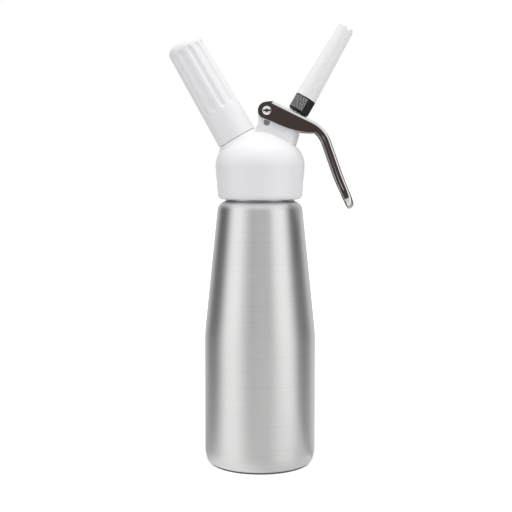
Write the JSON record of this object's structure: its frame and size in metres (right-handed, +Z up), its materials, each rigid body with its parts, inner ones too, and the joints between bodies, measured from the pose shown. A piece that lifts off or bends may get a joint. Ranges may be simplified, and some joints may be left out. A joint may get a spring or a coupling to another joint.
{
  "type": "whipped cream dispenser",
  "caption": "Brushed aluminium cream siphon: bottle with a screw-on white head, gas charger holder, sprung lever valve and decorating nozzle.",
  "frame": {"origin": "centre of the bottle's flat base, on the surface that it stands on", "axes": "+Z up the bottle's axis, +X towards the lever and the nozzle, -Y towards the picture's camera"},
  "size_m": [0.1319, 0.08, 0.3154],
  "materials": {
    "brushed_aluminium": "spun and satin brushed, with soft upright bands of reflection",
    "white_plastic": "smooth gloss",
    "nozzle_plastic": "smooth, slightly translucent",
    "insert_aluminium": "turned",
    "charger_steel": "plain zinc-plated steel, unmarked",
    "brass": "turned",
    "stem_steel": "turned",
    "spring_steel": "drawn wire",
    "lever_steel": "polished, mirror-like",
    "screw_steel": "polished",
    "dowel_steel": "satin, blue-grey",
    "black_collar": "black anodised, knurled",
    "clear_silicone": "soft silicone",
    "black_rubber": "moulded rubber",
    "red_silicone": "soft silicone"
  },
  "bodies": {
    "bottle": {"bottle": "brushed_aluminium"},
    "neck_seal": {"head_gasket": "clear_silicone"},
    "head": {"head_housing": "white_plastic", "thread_insert": "insert_aluminium", "charger_stub": "insert_aluminium", "piercing_pin_screw": "brass", "piercing_pin": "spring_steel", "charger_seal": "black_rubber", "check_valve": "red_silicone", "valve_body": "brass", "valve_guide_bush": "brass", "stem_seal": "black_rubber", "valve_seat_gasket": "black_rubber", "valve_spring": "spring_steel", "pivot_screw": "screw_steel", "pivot_nut": "screw_steel", "dowel_pin": "dowel_steel"},
    "charger": {"gas_charger": "charger_steel"},
    "holder": {"charger_holder": "white_plastic", "holder_sleeve": "insert_aluminium"},
    "lever": {"lever": "lever_steel"},
    "valve": {"valve_stem": "stem_steel", "valve_poppet": "stem_steel", "spring_clip": "spring_steel"},
    "stem_end_seal": {"nozzle_seal": "clear_silicone"},
    "nozzle": {"nozzle_collar": "black_collar", "decorator_nozzle": "nozzle_plastic"}
  },
  "joints": [
    {"name": "head_lift", "type": "slide", "parent": "bottle", "child": "neck_seal", "axis": [0, 0, 1], "range_m": [0, 0.02]},
    {"name": "head_turn", "type": "hinge", "parent": "neck_seal", "child": "head", "pos_m": [0, 0, 0.206], "axis": [0, 0, 1], "range_deg": [0, 1805]},
    {"name": "lever_press", "type": "hinge", "parent": "head", "child": "lever", "pos_m": [0.0047, 0, 0.2535], "axis": [0, 1, 0], "range_deg": [0, 9], "stiffness_Nm_per_rad": 4, "springref_deg": -5.73},
    {"name": "valve_travel", "type": "slide", "parent": "head", "child": "valve", "axis": [-0.5, 0, -0.866], "range_m": [0, 0.0031], "deforming": ["valve_spring"]},
    {"name": "charger_lift", "type": "slide", "parent": "head", "child": "charger", "axis": [-0.5, 0, 0.866], "range_m": [0, 0.01]},
    {"name": "holder_turn", "type": "hinge", "parent": "charger", "child": "holder", "pos_m": [0, 0, 0.206], "axis": [-0.5, 0, 0.866], "range_deg": [0, 1805]},
    {"name": "nozzle_lift", "type": "slide", "parent": "valve", "child": "stem_end_seal", "axis": [0.5, 0, 0.866], "range_m": [0, 0.0056]},
    {"name": "nozzle_turn", "type": "hinge", "parent": "stem_end_seal", "child": "nozzle", "pos_m": [0, 0, 0.206], "axis": [0.5, 0, 0.866], "range_deg": [0, 1445]}
  ],
  "couplings": [
    {"joint": "head_turn", "follows": "head_lift", "rad_per_m": 1570.8},
    {"joint": "valve_travel", "follows": "lever_press", "m_per_rad": 0.01967},
    {"joint": "holder_turn", "follows": "charger_lift", "rad_per_m": 3141.6},
    {"joint": "nozzle_turn", "follows": "nozzle_lift", "rad_per_m": 4488}
  ]
}
